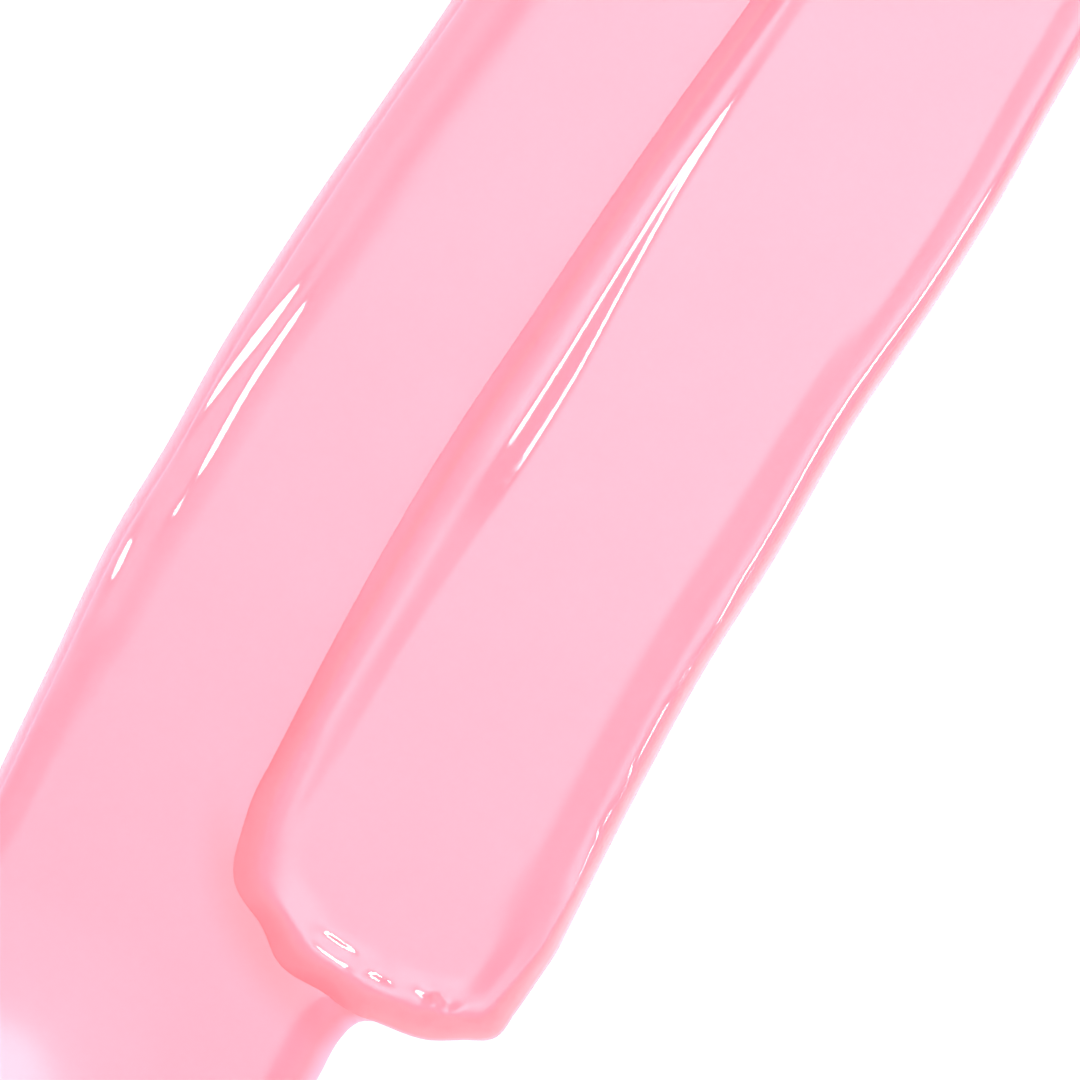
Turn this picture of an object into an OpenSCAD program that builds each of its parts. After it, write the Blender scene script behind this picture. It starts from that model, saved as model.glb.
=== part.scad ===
// Lip gloss tube with a drawn-out smear of its gloss.
// The tube stands on the origin, +Z up. The smear lies beside it on the same surface.

/* [Bottle] */
// Outer diameter of the bottle and of the cap
bottle_d = 18; // [17.5:0.25:20]
// Height of the bottle from its base to its shoulder
body_h = 62; // [50:1:75]
// Thickness of the clear base under the gloss
base_t = 6; // [4:0.5:8]
// Diameter of the cavity that holds the gloss
cavity_d = 11.6; // [11:0.1:12.4]
// Height of the gloss inside, above the base of the cavity
fill_h = 47; // [35:1:48]
// Diameter of the blank shade label in the base
label_d = 12.8; // [10:0.2:13.4]

/* [Neck] */
// Diameter of the neck at the root of its thread
neck_d = 11.4; // [11.2:0.1:11.6]
// Height of the neck above the shoulder
neck_h = 14; // [13.5:0.5:15]
// Bore of the neck, which holds the wiper
neck_bore_d = 9; // [8.8:0.1:9.2]
// Rise of the cap for one turn
thread_pitch = 2.1; // [1.8:0.1:2.4]
// Turns of thread on the neck
thread_turns = 1.5; // [1:0.25:1.75]
// Height of the trim collar on the shoulder
collar_h = 3; // [2:0.25:3.5]
// Orifice of the wiper
orifice_d = 4.6; // [4.5:0.1:5]

/* [Cap] */
// Height of the cap
cap_h = 41; // [36:1:48]
// Thickness of the outer cap's wall
shell_t = 0.95; // [0.8:0.05:1]
// Diameter of the inlaid disc on top
disc_d = 14.2; // [12:0.2:14.6]

/* [Wand] */
// Diameter of the rod
stem_d = 3.6; // [3.2:0.1:3.8]
// Diameter of the flocked tip
tip_d = 4.3; // [4:0.1:4.3]
// Length of the flocked tip
tip_l = 14; // [11:0.5:16]
// Slant of the tip's flat face from its axis, in degrees
tip_slant = 11; // [8:1:13]

/* [Smear] */
// Centre of the smear from the tube's axis, along X
smear_x = 16; // [10:1:30]
// Centre of the smear from the tube's axis, along Y
smear_y = -46; // [-60:1:-40]
// Direction of the strokes from the X axis, in degrees
smear_turn = 60; // [50:1:70]
// Thickness of the under stroke's flat middle
under_t = 0.6; // [0.4:0.05:0.8]
// Height of the over stroke's flat middle above the surface
over_t = 1.25; // [1:0.05:1.5]
// How far the beads along the edges stand above the middle
bead_rise = 0.15; // [0.05:0.05:0.2]

/* [Hidden] */
$fn = 96;

gloss_pink = [1.0, 0.75, 0.81];
gloss_deep = [1.0, 0.66, 0.72];
clear_wall = [0.93, 0.96, 0.98, 0.35];
metal_trim = [0.90, 0.74, 0.68];

// Heights along the tube
shoulder_z = body_h;
neck_top = shoulder_z + neck_h;
collar_top = shoulder_z + collar_h;
cap_gap = 0.3;
cap_bottom = collar_top + cap_gap;
cap_top = cap_bottom + cap_h;
fill_top = base_t + fill_h;

// Bottle
bottle_r = bottle_d / 2;
cavity_r = cavity_d / 2;
neck_r = neck_d / 2;
bore_r = neck_bore_d / 2;
foot_round = 0.8;
shoulder_round = 0.6;
shoulder_t = 2.4;
cavity_round = 2.2;
throat_h = 1.8;
cavity_top = shoulder_z - shoulder_t;
label_recess = 0.35;
label_t = 0.15;
label_clear = 0.2;

// Thread. The two ridges clear each other by thread_clear.
ridge_h = 0.7;
ridge_foot = 1.1;
ridge_crest = 0.45;
ridge_sink = 0.25;
thread_clear = 0.14;
ridge_steps = 28;
neck_thread_z = cap_bottom + 2.4;
liner_thread_z = neck_thread_z + thread_pitch / 2;
liner_bore_r = neck_r + 2 * ridge_h - 0.2;
liner_ridge_h = liner_bore_r - neck_r - ridge_h - thread_clear;

// Wiper
flange_t = 0.8;
flange_r = neck_r - 0.1;
wiper_wall = 0.8;
wiper_straight = 7.5;
wiper_cone = 4.5;
flange_top = neck_top + flange_t;

// Cap
shell_inner_r = bottle_r - shell_t;
shell_top_t = 1.6;
disc_recess = 0.8;
disc_rise = 0.1;
disc_clear = 0.05;
seal_gap = 0.05;
gasket_t = 0.9;
gasket_r = neck_r + 0.3;
gasket_hole_r = stem_d / 2 + 0.2;
gasket_z = flange_top + seal_gap;
liner_roof = gasket_z + gasket_t + seal_gap;
liner_roof_t = 1.6;
liner_r = shell_inner_r - 0.05;
liner_bottom = cap_bottom + 0.4;
liner_top = liner_roof + 13;
boss_r = 3.2;
boss_top = liner_roof + 8;
rib_t = 0.8;
rib_count = 6;
weight_top = cap_top - shell_top_t - disc_recess - 0.2;
weight_h = 7.5;
weight_r = shell_inner_r - 0.05;

// Wand
stem_r = stem_d / 2;
tip_r = tip_d / 2;
tip_bottom = base_t + 3;
tip_shoulder = tip_bottom + tip_l;
flock_t = 0.4;
tip_neck_r = 1.35;
stem_bottom = tip_shoulder + 3.5;
tenon_r = 0.95;
tenon_l = 4;
socket_gap = 0.02;
stem_top = boss_top - 0.5;
tunnel_r = tip_r + 0.2;
tunnel_bottom = tip_bottom - 0.4;
film_t = 0.2;
film_clear = 0.03;
film_bottom = stem_bottom + 4.5;
film_top = film_bottom + 16;

// Smear outlines. "along" runs up the strokes, "left" is across them.
under_start = -26;
under_end = 23;
over_start = -14.55;
over_end = 26;
outline_steps = 44;
bead_w = 1.7;
over_end_round = 2.4;
far_end_round = 5;
wave = 0.09;

// Profile helpers

// Points on a quarter circle or part of one, round [x, y]
function arc(x, y, r, from, to, steps = 8) =
    [for (i = [0:steps]) [x + r * cos(from + (to - from) * i / steps),
                          y + r * sin(from + (to - from) * i / steps)]];

// A helical ridge on a cylinder. height is positive outwards and negative inwards.
module ridge(root_r, height, z, turns) {
    count = round(ridge_steps * turns);
    sink = height > 0 ? -ridge_sink : ridge_sink;
    function fade(i) = min(1, min(i, count - i) / 4 + 0.02);
    function ring(i) = [
        for (p = [[sink, -ridge_foot / 2], [sink, ridge_foot / 2],
                  [height * fade(i), ridge_crest / 2], [height * fade(i), -ridge_crest / 2]])
        [(root_r + p[0]) * cos(360 * i / ridge_steps),
         (root_r + p[0]) * sin(360 * i / ridge_steps),
         z + thread_pitch * i / ridge_steps + p[1]]];
    points = [for (i = [0:count]) each ring(i)];
    sides = [for (i = [0:count - 1]) for (k = [0:3])
        [4 * i + k, 4 * i + (k + 1) % 4, 4 * (i + 1) + (k + 1) % 4, 4 * (i + 1) + k]];
    first_cap = [3, 2, 1, 0];
    last_cap = [for (k = [0:3]) 4 * count + k];
    faces = concat([first_cap], sides, [last_cap]);
    turned = height < 0 ? faces : [for (f = faces) [for (k = [3:-1:0]) f[k]]];
    polyhedron(points, turned, convexity = 4);
}

// Tube pieces

module bottle() {
    outer = concat(
        [[0, label_recess], [label_d / 2 + label_clear, label_recess], [label_d / 2 + label_clear, 0]],
        arc(bottle_r - foot_round, foot_round, foot_round, -90, 0),
        arc(bottle_r - shoulder_round, shoulder_z - shoulder_round, shoulder_round, 0, 90),
        [[neck_r, shoulder_z], [neck_r, neck_top - 0.3], [neck_r - 0.3, neck_top], [0, neck_top]]);
    hollow = concat(
        [[0, base_t]],
        arc(cavity_r - cavity_round, base_t + cavity_round, cavity_round, -90, 0),
        [[cavity_r, cavity_top - throat_h], [bore_r, cavity_top], [bore_r, neck_top + 1], [0, neck_top + 1]]);
    color(clear_wall)
        difference() {
            union() {
                rotate_extrude() polygon(outer);
                ridge(neck_r, ridge_h, neck_thread_z, thread_turns);
            }
            rotate_extrude() polygon(hollow);
        }
}

module gloss_fill() {
    outline = concat(
        [[0, base_t]],
        arc(cavity_r - cavity_round, base_t + cavity_round, cavity_round, -90, 0),
        [[cavity_r, fill_top], [0, fill_top]]);
    color(gloss_pink)
        difference() {
            rotate_extrude() polygon(outline);
            translate([0, 0, tunnel_bottom]) cylinder(h = fill_top, r = tunnel_r);
        }
}

module wiper() {
    cone_top = flange_top - wiper_straight;
    cone_end = cone_top - wiper_cone;
    inner_r = bore_r - wiper_wall;
    lip_r = orifice_d / 2;
    lip_wall = 0.5;
    profile = [
        [inner_r, flange_top], [flange_r, flange_top], [flange_r, neck_top], [bore_r, neck_top],
        [bore_r, cone_top + 0.6], [bore_r - 0.3, cone_top], [lip_r + lip_wall, cone_end],
        [lip_r, cone_end], [inner_r, cone_top + 0.4]];
    color("white") rotate_extrude() polygon(profile);
}

module collar() {
    edge = 0.35;
    profile = concat(
        [[neck_r, shoulder_z]],
        [[bottle_r - edge, shoulder_z], [bottle_r - 0.05, shoulder_z + edge]],
        arc(bottle_r - 0.05 - edge, collar_top - edge, edge, 0, 90, 5),
        [[neck_r, collar_top]]);
    color(metal_trim) rotate_extrude() polygon(profile);
}

module shade_label() {
    color("white")
        translate([0, 0, label_recess - label_t]) cylinder(h = label_t, d = label_d);
}

// Cap pieces

module cap_shell() {
    top_round = 1.1;
    foot = 0.25;
    hollow_top = cap_top - shell_top_t - disc_recess;
    profile = concat(
        [[shell_inner_r, cap_bottom], [bottle_r - foot, cap_bottom], [bottle_r, cap_bottom + foot]],
        arc(bottle_r - top_round, cap_top - top_round, top_round, 0, 90),
        [[disc_d / 2 + disc_clear, cap_top], [disc_d / 2 + disc_clear, cap_top - disc_recess],
         [0, cap_top - disc_recess], [0, hollow_top], [shell_inner_r, hollow_top]]);
    color(gloss_pink) rotate_extrude() polygon(profile);
}

module cap_liner() {
    skirt = 1;
    wall = liner_r - skirt;
    roof_top = liner_roof + liner_roof_t;
    profile = [
        [liner_bore_r, liner_bottom], [liner_r, liner_bottom], [liner_r, liner_top],
        [wall, liner_top], [wall, roof_top], [boss_r, roof_top], [boss_r, boss_top],
        [stem_r, boss_top], [stem_r, liner_roof], [liner_bore_r, liner_roof]];
    color("white") {
        union() {
            rotate_extrude() polygon(profile);
            ridge(liner_bore_r, -liner_ridge_h, liner_thread_z, thread_turns);
            for (i = [0:rib_count - 1])
                rotate([0, 0, i * 360 / rib_count])
                    translate([boss_r - 0.2, -rib_t / 2, roof_top - 0.2])
                        cube([wall - boss_r + 0.4, rib_t, boss_top - roof_top]);
        }
    }
}

module cap_weight() {
    edge = 0.5;
    bottom = weight_top - weight_h;
    profile = [
        [0, bottom], [weight_r - edge, bottom], [weight_r, bottom + edge],
        [weight_r, weight_top - edge], [weight_r - edge, weight_top], [0, weight_top]];
    color("silver") rotate_extrude() polygon(profile);
}

module cap_top_disc() {
    edge = 0.15;
    bottom = cap_top - disc_recess;
    top = cap_top + disc_rise;
    r = disc_d / 2;
    profile = [[0, bottom], [r, bottom], [r, top - edge], [r - edge, top], [0, top]];
    color(metal_trim) rotate_extrude() polygon(profile);
}

module cap_gasket() {
    bead = 0.25;
    profile = [
        [gasket_hole_r, gasket_z], [gasket_r - bead, gasket_z], [gasket_r, gasket_z + bead],
        [gasket_r, gasket_z + gasket_t], [gasket_hole_r, gasket_z + gasket_t]];
    color("gainsboro") rotate_extrude() polygon(profile);
}

// Wand pieces

module wand_stem() {
    foot = 0.2;
    color("white")
        difference() {
            union() {
                translate([0, 0, stem_bottom + foot]) cylinder(h = stem_top - stem_bottom - foot, r = stem_r);
                translate([0, 0, stem_bottom]) cylinder(h = foot, r1 = stem_r - foot, r2 = stem_r);
            }
            translate([0, 0, stem_bottom - 1]) cylinder(h = tenon_l + 1 + socket_gap, r = tenon_r + socket_gap);
        }
}

// The doe-foot: a round-ended body with one slanted flat face. skin shrinks it all round.
module doe_foot(skin) {
    r = tip_r - skin;
    nose = 2.6;
    shoulder = 1.2;
    profile = concat(
        [for (i = [0:8]) [r * sin(90 * i / 8), tip_bottom + skin + nose * (1 - cos(90 * i / 8))]],
        [for (i = [0:5]) [tip_neck_r + (r - tip_neck_r) * cos(90 * i / 5),
                          tip_shoulder - skin - shoulder + shoulder * sin(90 * i / 5)]],
        [[0, tip_shoulder - skin]]);
    flat_start = tip_shoulder - 2.5;
    difference() {
        rotate_extrude() polygon(profile);
        translate([tip_r - skin, 0, flat_start])
            rotate([0, tip_slant, 0])
                translate([0, -tip_d, -2 * tip_l]) cube([2 * tip_d, 2 * tip_d, 2 * tip_l]);
    }
}

module tip_core() {
    color("mistyrose")
        union() {
            doe_foot(flock_t);
            translate([0, 0, tip_shoulder - 2]) cylinder(h = stem_bottom - tip_shoulder + 2, r = tip_neck_r);
            translate([0, 0, stem_bottom - 0.2]) cylinder(h = tenon_l + 0.2, r = tenon_r);
        }
}

module tip_flock() {
    color(gloss_deep)
        difference() {
            doe_foot(0);
            doe_foot(flock_t);
            translate([0, 0, tip_shoulder - 2]) cylinder(h = 4, r = tip_neck_r);
        }
}

module stem_film() {
    inner = stem_r + film_clear;
    outer = inner + film_t;
    taper = 1.5;
    profile = [
        [inner, film_bottom], [inner + 0.05, film_bottom], [outer, film_bottom + taper],
        [outer, film_top - taper], [inner + 0.05, film_top], [inner, film_top]];
    color(gloss_pink) rotate_extrude() polygon(profile);
}

// Smear

// Share of the full width at a distance from the end of a stroke
function end_share(distance, round_l, power) =
    distance >= round_l ? 1 : pow(max(0, 1 - pow(1 - distance / round_l, power)), 1 / power);

// Left and right edges of each stroke, across it, at a place along it
function under_left(along) = 10.7 - 0.0034 * pow(along + 2, 2) + wave / 2 * sin(along * 40);
function under_right(along) = -2.2 + wave * sin((along + 15) * 23);
function over_left(along) = 3.7 - 0.0036 * pow(along + 1, 2);
function over_right(along) = -6 - 0.0022 * min(along * along, 280) + wave * sin((along + 4) * 19);

// Outline from its edges, drawn in by inset, with steps crowded near both ends
function spread(i) = (1 - cos(180 * i / outline_steps)) / 2;
function stroke_outline(start, end, round_a, power_a, round_b, inset, is_over) =
    let (a = start + inset, b = end - inset)
    let (edge = function (along, side)
        let (left = is_over ? over_left(along) : under_left(along))
        let (right = is_over ? over_right(along) : under_right(along))
        let (middle = (left + right) / 2, half = (left - right) / 2 - inset)
        let (share = end_share(along - a, round_a, power_a) * end_share(b - along, round_b, 2))
        middle + side * half * share)
    concat(
        [for (i = [0:outline_steps]) let (along = a + (b - a) * spread(i)) [along, edge(along, 1)]],
        [for (i = [outline_steps - 1:-1:1]) let (along = a + (b - a) * spread(i)) [along, edge(along, -1)]]);

module on_smear() {
    translate([smear_x, smear_y, 0]) rotate([0, 0, smear_turn]) children();
}

// A slab with a raised bead along its edge
module stroke(start, end, round_a, power_a, round_b, height, is_over) {
    difference() {
        linear_extrude(height + bead_rise)
            polygon(stroke_outline(start, end, round_a, power_a, round_b, 0, is_over));
        translate([0, 0, height])
            linear_extrude(height)
                polygon(stroke_outline(start, end, round_a, power_a, round_b, bead_w, is_over));
    }
}

module under_solid() {
    stroke(under_start, under_end, far_end_round, 2, far_end_round, under_t, false);
}

module stroke_under() {
    color(gloss_pink) on_smear() under_solid();
}

module stroke_over() {
    color(gloss_deep)
        on_smear()
            difference() {
                stroke(over_start, over_end, over_end_round, 2.4, far_end_round, over_t, true);
                under_solid();
            }
}

bottle();
gloss_fill();
wiper();
collar();
shade_label();
cap_shell();
cap_liner();
cap_weight();
cap_top_disc();
cap_gasket();
wand_stem();
tip_core();
tip_flock();
stem_film();
stroke_under();
stroke_over();
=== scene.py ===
import math

import bmesh
import bpy
import numpy as np
from mathutils import Matrix, Vector


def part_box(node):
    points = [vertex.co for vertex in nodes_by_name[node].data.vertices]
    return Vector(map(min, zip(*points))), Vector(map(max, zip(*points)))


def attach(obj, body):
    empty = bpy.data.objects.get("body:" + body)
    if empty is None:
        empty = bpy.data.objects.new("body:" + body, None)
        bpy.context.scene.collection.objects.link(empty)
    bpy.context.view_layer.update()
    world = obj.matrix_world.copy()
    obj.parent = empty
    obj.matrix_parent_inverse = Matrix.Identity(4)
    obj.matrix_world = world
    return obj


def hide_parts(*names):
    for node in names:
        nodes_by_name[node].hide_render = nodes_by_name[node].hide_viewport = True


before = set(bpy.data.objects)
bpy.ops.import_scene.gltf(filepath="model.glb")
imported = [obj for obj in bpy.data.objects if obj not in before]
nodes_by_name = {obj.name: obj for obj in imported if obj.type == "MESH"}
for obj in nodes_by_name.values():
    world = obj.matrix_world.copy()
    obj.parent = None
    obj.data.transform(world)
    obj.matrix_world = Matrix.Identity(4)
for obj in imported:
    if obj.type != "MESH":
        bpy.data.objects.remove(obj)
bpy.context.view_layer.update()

MM = 0.001
SCENE = bpy.context.scene

# Where the smear lies: its centre from the tube's axis, and the direction of its strokes
SMEAR_CENTRE = Vector((16.0, -46.0, 0.0)) * MM
SMEAR_TURN = math.radians(60.0)
ALONG = Vector((math.cos(SMEAR_TURN), math.sin(SMEAR_TURN), 0.0))
LEFT = Vector((-math.sin(SMEAR_TURN), math.cos(SMEAR_TURN), 0.0))

# ---------------------------------------------------------------- camera

VIEW_WIDTH = 31.0 * MM
CAMERA_HEIGHT = 200.0 * MM
SENSOR = 36.0

camera_data = bpy.data.cameras.new("camera")
camera_data.sensor_width = SENSOR
camera_data.lens = SENSOR * CAMERA_HEIGHT / VIEW_WIDTH
camera_data.clip_start = 0.005
camera_data.clip_end = 20.0
camera = bpy.data.objects.new("camera", camera_data)
camera.location = SMEAR_CENTRE + Vector((0.0, 0.0, CAMERA_HEIGHT))
SCENE.collection.objects.link(camera)
SCENE.camera = camera
SCENE.view_settings.view_transform = "Standard"

# ---------------------------------------------------------------- small tools


def smoothstep(x, low=0.0, high=1.0):
    x = np.clip((x - low) / (high - low), 0.0, 1.0)
    return x * x * (3.0 - 2.0 * x)


def curve(knots):
    """A smooth curve through [place, value] knots, as a function of an array of places."""
    xs = np.array([k[0] for k in knots], float)
    ys = np.array([k[1] for k in knots], float)
    slopes = np.gradient(ys, xs)

    def at(x):
        x = np.clip(np.asarray(x, float), xs[0], xs[-1])
        i = np.clip(np.searchsorted(xs, x) - 1, 0, len(xs) - 2)
        width = xs[i + 1] - xs[i]
        u = (x - xs[i]) / width
        return (
            ys[i] * (2 * u**3 - 3 * u**2 + 1)
            + ys[i + 1] * (3 * u**2 - 2 * u**3)
            + slopes[i] * width * (u**3 - 2 * u**2 + u)
            + slopes[i + 1] * width * (u**3 - u**2)
        )

    return at


def add_mesh(name, verts, faces, smooth=True):
    mesh = bpy.data.meshes.new(name)
    mesh.from_pydata([tuple(v) for v in verts], [], [tuple(f) for f in faces])
    mesh.validate()
    mesh.update()
    if smooth:
        mesh.shade_smooth()
    piece = bpy.data.objects.new(name, mesh)
    SCENE.collection.objects.link(piece)
    return piece


def new_material(name):
    material = bpy.data.materials.new(name)
    material.use_nodes = True
    nodes = material.node_tree.nodes
    nodes.clear()
    output = nodes.new("ShaderNodeOutputMaterial")
    shader = nodes.new("ShaderNodeBsdfPrincipled")
    material.node_tree.links.new(shader.outputs["BSDF"], output.inputs["Surface"])
    return material, material.node_tree, shader


# ---------------------------------------------------------------- world, floor and lights

world = bpy.data.worlds.new("studio")
SCENE.world = world
world.use_nodes = True
tree = world.node_tree
tree.nodes.clear()


def world_node(kind, **values):
    node = tree.nodes.new(kind)
    for key, value in values.items():
        setattr(node, key, value)
    return node


HORIZON_LIGHT = 1.02
DOME_LIGHT = 1.6
ZENITH_GLOW = 5.6
# The bright strip overhead, as sines of the angles from the zenith across and along the strokes
STRIP_FULL = 0.075
STRIP_GONE = 0.35
STRIP_END_FULL = 0.16
STRIP_END_GONE = 0.42
STRIP_DIM = 0.55
STRIP_RISE = (-0.13, 0.10)

direction = world_node("ShaderNodeTexCoord")


def towards(axis):
    product = world_node("ShaderNodeVectorMath", operation="DOT_PRODUCT")
    product.inputs[1].default_value = axis
    tree.links.new(direction.outputs["Generated"], product.inputs[0])
    return product.outputs["Value"]


def ramp(value, start, stop, low, high):
    mapped = world_node("ShaderNodeMapRange", interpolation_type="SMOOTHSTEP")
    for socket, number in zip(("From Min", "From Max", "To Min", "To Max"), (start, stop, low, high)):
        mapped.inputs[socket].default_value = number
    tree.links.new(value, mapped.inputs["Value"])
    return mapped.outputs["Result"]


def maths(operation, first, second=None):
    made = world_node("ShaderNodeMath", operation=operation)
    tree.links.new(first, made.inputs[0])
    if second is not None:
        tree.links.new(second, made.inputs[1])
    return made.outputs[0]


height_up = towards(Vector((0, 0, 1)))
dome = ramp(height_up, 0.10, 0.85, HORIZON_LIGHT, DOME_LIGHT)
across_strip = ramp(maths("ABSOLUTE", towards(LEFT)), STRIP_FULL, STRIP_GONE, 1.0, 0.0)
along_strip = ramp(maths("ABSOLUTE", towards(ALONG)), STRIP_END_FULL, STRIP_END_GONE, 1.0, 0.0)
rising = ramp(towards(ALONG), STRIP_RISE[0], STRIP_RISE[1], ZENITH_GLOW * STRIP_DIM, ZENITH_GLOW)
above = ramp(height_up, 0.5, 0.7, 0.0, 1.0)

# Three tall panels stand round the set. The darker gaps between them shape the clear wall and the metal.
PANELS = 3
PANEL_TURN = math.radians(25.0)
GAP_LIGHT = 0.62
flat_turn = world_node("ShaderNodeMath", operation="ARCTAN2")
tree.links.new(towards(Vector((0, 1, 0))), flat_turn.inputs[0])
tree.links.new(towards(Vector((1, 0, 0))), flat_turn.inputs[1])
phase = world_node("ShaderNodeMath", operation="MULTIPLY_ADD")
phase.inputs[1].default_value = PANELS
phase.inputs[2].default_value = PANEL_TURN
tree.links.new(flat_turn.outputs[0], phase.inputs[0])
panel = ramp(maths("COSINE", phase.outputs[0]), -0.25, 0.35, 0.0, 1.0)
low = ramp(height_up, 0.45, 0.75, 1.0, 0.0)
shade = world_node("ShaderNodeMapRange")
shade.inputs["To Min"].default_value = 1.0 - GAP_LIGHT
shade.inputs["To Max"].default_value = 0.0
tree.links.new(panel, shade.inputs["Value"])
kept = world_node("ShaderNodeMath", operation="SUBTRACT")
kept.inputs[0].default_value = 1.0
tree.links.new(maths("MULTIPLY", low, shade.outputs["Result"]), kept.inputs[1])
dome = maths("MULTIPLY", dome, kept.outputs[0])

strip = maths("MULTIPLY", maths("MULTIPLY", across_strip, along_strip), maths("MULTIPLY", rising, above))
total = world_node("ShaderNodeMath", operation="ADD")
tree.links.new(dome, total.inputs[0])
tree.links.new(strip, total.inputs[1])
background = world_node("ShaderNodeBackground")
background.inputs["Color"].default_value = (0.93, 0.92, 1.0, 1.0)
tree.links.new(total.outputs[0], background.inputs["Strength"])
world_out = world_node("ShaderNodeOutputWorld")
tree.links.new(background.outputs[0], world_out.inputs["Surface"])

FLOOR_HALF = 6.0
floor_mesh = bpy.data.meshes.new("floor")
floor_mesh.from_pydata(
    [(-FLOOR_HALF, -FLOOR_HALF, 0), (FLOOR_HALF, -FLOOR_HALF, 0), (FLOOR_HALF, FLOOR_HALF, 0),
    (-FLOOR_HALF, FLOOR_HALF, 0)],
    [],
    [(0, 1, 2, 3)],
)
floor = bpy.data.objects.new("floor", floor_mesh)
floor.location.z = -0.02 * MM
SCENE.collection.objects.link(floor)
floor_material, _, floor_shader = new_material("floor")
floor_shader.inputs["Base Color"].default_value = (0.88, 0.88, 0.88, 1.0)
floor_shader.inputs["Roughness"].default_value = 0.6
floor_shader.inputs["Specular IOR Level"].default_value = 0.2
floor_mesh.materials.append(floor_material)


def softbox(name, lean, lean_deg, aim, distance, size, radiance, lights_only=None, colour=(1.0, 1.0, 1.0),
        shape="RECTANGLE"):
    """A rectangular lamp aimed at a place on the smear, leaning from the zenith towards a direction."""
    lamp = bpy.data.lights.new(name, "AREA")
    lamp.shape = shape
    lamp.size = size[0] * MM
    lamp.size_y = size[1] * MM
    lamp.color = colour
    lamp.energy = radiance * math.pi * size[0] * size[1] * MM * MM
    tilt = math.radians(lean_deg)
    up = Vector((0, 0, 1))
    out = lean * math.sin(tilt) + up * math.cos(tilt)
    side = lean * math.cos(tilt) - up * math.sin(tilt)
    target = SMEAR_CENTRE + ALONG * (aim[0] * MM) + LEFT * (aim[1] * MM)
    obj = bpy.data.objects.new(name, lamp)
    rotation = Matrix((side, out.cross(side), out)).transposed()
    obj.matrix_world = Matrix.Translation(target + out * (distance * MM)) @ rotation.to_4x4()
    obj.visible_camera = False
    SCENE.collection.objects.link(obj)
    if lights_only:
        receivers = bpy.data.collections.new(name + "_receivers")
        for piece in lights_only:
            receivers.objects.link(piece)
        obj.light_linking.receiver_collection = receivers
    return obj


# ---------------------------------------------------------------- the two strokes of gloss

# Edges across the stroke (left is positive) at places along it, in millimetres
UNDER_LEFT = curve([
    [-26, 9.0], [-20, 9.7], [-14, 10.1], [-10, 10.4], [-6, 10.7], [-3, 10.65], [0, 10.7], [4, 10.55],
    [12, 9.95],
    [23, 9.3]])
UNDER_RIGHT = curve([
    [-26, -2.0], [-20, -2.3], [-16.5, -2.2], [-15.2, -2.2], [-14.8, -2.3], [-14.5, -2.5], [-14.25, -2.95],
    [-13.6, -3.0], [-10, -2.2], [23, -2.2]])
OVER_LEFT = curve([[-9.6, 3.5], [-5, 3.7], [1, 3.7], [5, 3.45], [13, 2.85], [16.5, 2.5], [21, 2.2]])
OVER_RIGHT = curve([
    [-9.6, -6.3], [-5, -6.05], [-1, -5.95], [3, -6.1], [7, -6.1], [12, -6.45], [15, -6.55], [18, -6.5],
    [21, -6.5]])
# Radius of the blunt end about the end's centre, at its bulges and hollows. The angle runs from the right
# edge (-90) to the left one (90).
BLUNT_END = curve([
    [-90, 4.9], [-72, 5.1], [-62, 5.4], [-54, 5.75], [-44, 5.5], [-34, 5.35], [-20, 5.0], [-8, 4.85],
    [4, 4.75],
    [22, 5.0], [34, 4.85], [52, 5.25], [70, 5.0], [90, 4.9]])
# The same end with its small kinks smoothed away, which the surface follows further in
SOFT_END = curve([[-90, 4.88], [-70, 5.1], [-50, 5.5], [-25, 5.05], [0, 4.8], [25, 4.85], [50, 5.1],
    [70, 4.95], [90, 4.88]])

UNDER_FLAT = 0.60
OVER_FLAT = 1.22
# How much steeper the gentle slopes beside the flats are made, which darkens the bands along the edges
UNDER_BAND_LEAN = 0.032
OVER_BAND_LEAN = 0.024
GENTLE_SLOPES = (0.03, 0.16)
FULL_LEAN_FROM = 0.09
FLANK_POWER = 2.1
GRID_STEP = 0.01
SLOPE_BLUR = 3.5
FLOOR_LIFT = 0.03
SINK = 0.03
# Painted light: where the over stroke meets the under one, its foot is painted paler, for light that soaks
# through it
FOOT_WIDTH = 0.55
FOOT_PAINTED_LIGHT = 0.62
SIDE_STEP = 0.12
CAP_STEPS = 130
EDGE_PLACES = np.concatenate([
    [0.0, 0.008, 0.02, 0.035, 0.055, 0.08, 0.11, 0.145], np.arange(0.18, 2.75, 0.04),
    np.arange(2.8, 4.2, 0.14)])


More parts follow.
